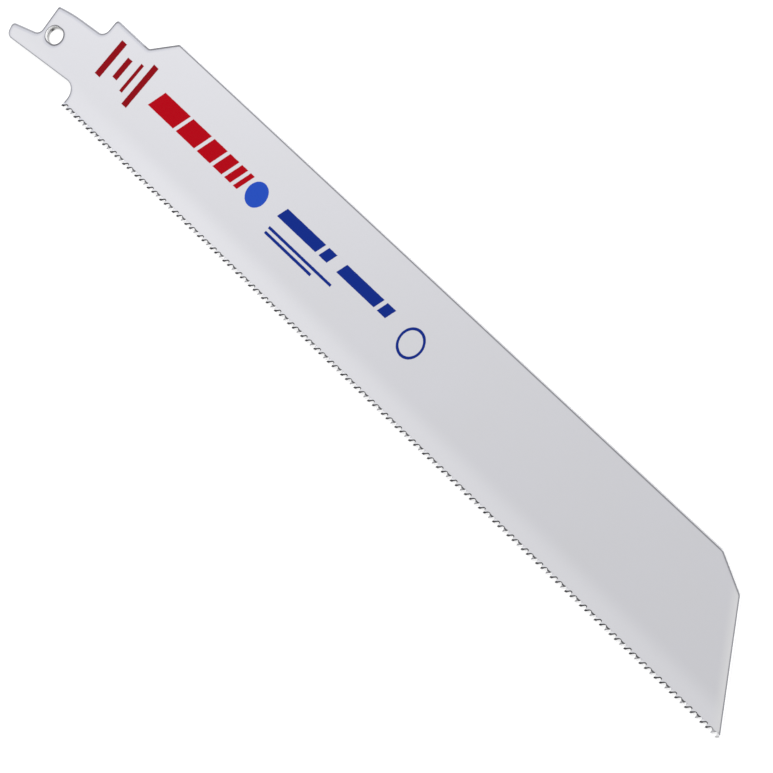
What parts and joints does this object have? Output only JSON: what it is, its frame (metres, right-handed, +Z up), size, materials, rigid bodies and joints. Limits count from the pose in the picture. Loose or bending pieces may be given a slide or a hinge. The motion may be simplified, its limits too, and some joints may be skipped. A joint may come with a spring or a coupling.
{
  "type": "reciprocating saw blade",
  "caption": "Long flat saw blade with a fine raker-set tooth edge, a slanted nose and a stepped, canted tang with an oblong drive hole, lying on its side.",
  "frame": {"origin": "middle of the underside of the blade's box, on the surface that it lies on", "axes": "+X along the blade from the tang to the nose, +Y across it from the teeth to the back, +Z up, square to its face"},
  "size_m": [0.2272, 0.0254, 0.0015],
  "materials": {
    "painted_steel": "satin"
  },
  "bodies": {
    "root": {"blade": "painted_steel"}
  },
  "joints": []
}
